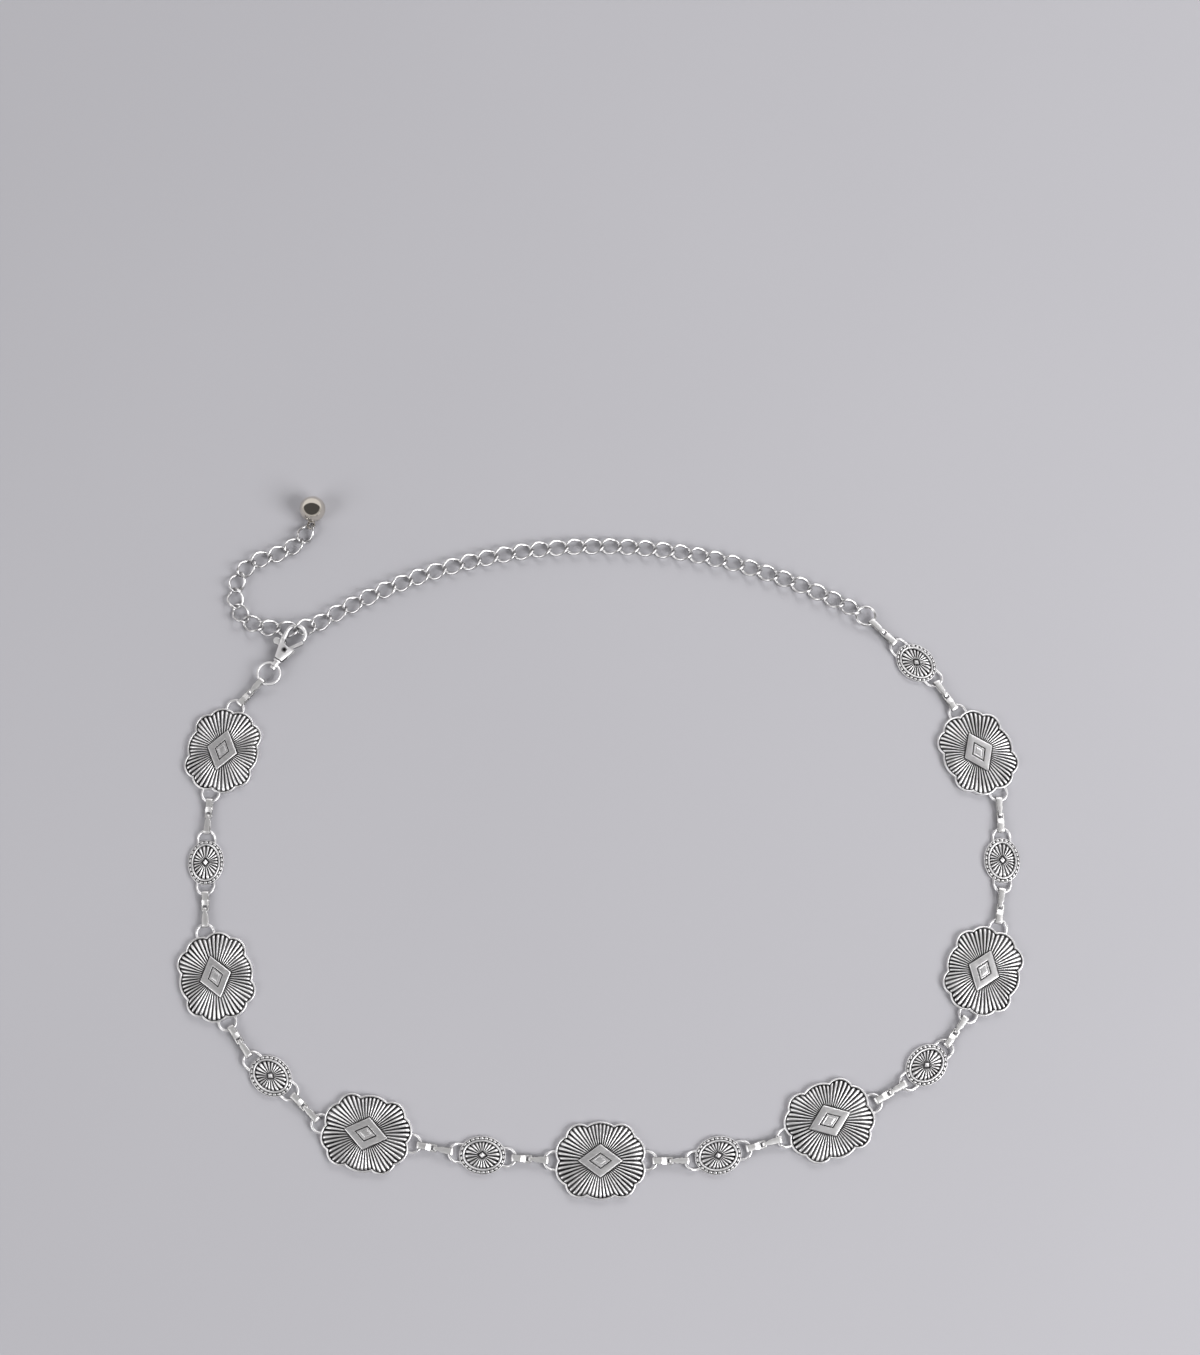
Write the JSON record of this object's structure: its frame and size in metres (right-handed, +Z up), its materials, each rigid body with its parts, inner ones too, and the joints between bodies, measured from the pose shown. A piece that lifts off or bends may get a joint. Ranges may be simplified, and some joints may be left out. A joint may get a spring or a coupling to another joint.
{
  "type": "waist chain",
  "caption": "Concho waist chain: large and small fluted oval plates joined by folded band links, closed by an open curb chain, a swivel lobster clasp and a ball drop.",
  "frame": {"origin": "centre of the middle large concho's flat back, on the surface that the closed chain lies on", "axes": "+X along the belt at the middle concho, from the clasp's side to the chain's side; +Y from the middle concho across the loop to the chain; +Z up out of the surface, towards the decorated faces"},
  "size_m": [0.3963, 0.3324, 0.0126],
  "materials": {
    "concho_silver": "bright silver plate over cast metal, with darkened flutes and grooves",
    "link_silver": "bright silver plate on folded strip",
    "chain_silver": "bright silver plate on wire",
    "clasp_silver": "bright silver plate over cast metal",
    "rivet_silver": "turned rivet",
    "ball_silver": "mirror polish with fine marks"
  },
  "bodies": {
    "belt": {"large_concho_1": "concho_silver", "large_concho_2": "concho_silver", "large_concho_3": "concho_silver", "large_concho_4": "concho_silver", "large_concho_5": "concho_silver", "large_concho_6": "concho_silver", "large_concho_7": "concho_silver", "small_concho_1": "concho_silver", "small_concho_2": "concho_silver", "small_concho_3": "concho_silver", "small_concho_4": "concho_silver", "small_concho_5": "concho_silver", "small_concho_6": "concho_silver", "small_concho_7": "concho_silver", "slotted_link_1": "link_silver", "slotted_link_2": "link_silver", "slotted_link_3": "link_silver", "slotted_link_4": "link_silver", "slotted_link_5": "link_silver", "slotted_link_6": "link_silver", "slotted_link_7": "link_silver", "slotted_link_8": "link_silver", "slotted_link_9": "link_silver", "slotted_link_10": "link_silver", "slotted_link_11": "link_silver", "slotted_link_12": "link_silver", "slotted_link_13": "link_silver", "slotted_link_14": "link_silver", "slotted_link_15": "link_silver", "looped_link_1": "link_silver", "looped_link_2": "link_silver", "looped_link_3": "link_silver", "looped_link_4": "link_silver", "looped_link_5": "link_silver", "looped_link_6": "link_silver", "looped_link_7": "link_silver", "looped_link_8": "link_silver", "looped_link_9": "link_silver", "looped_link_10": "link_silver", "looped_link_11": "link_silver", "looped_link_12": "link_silver", "looped_link_13": "link_silver", "looped_link_14": "link_silver", "looped_link_15": "link_silver", "clasp_hook": "clasp_silver", "swivel_ring": "clasp_silver", "clasp_rivet": "rivet_silver", "end_ring": "chain_silver", "chain": "chain_silver", "tail_chain": "chain_silver", "ball_drop": "ball_silver"},
    "lever": {"clasp_lever": "clasp_silver"}
  },
  "joints": [
    {"name": "lever_hinge", "type": "hinge", "parent": "belt", "child": "lever", "pos_m": [-0.15182, 0.23745, 0.0034], "axis": [0, 0, 1], "range_deg": [0, 24], "stiffness_Nm_per_rad": 0.01, "springref_deg": -11.46}
  ]
}
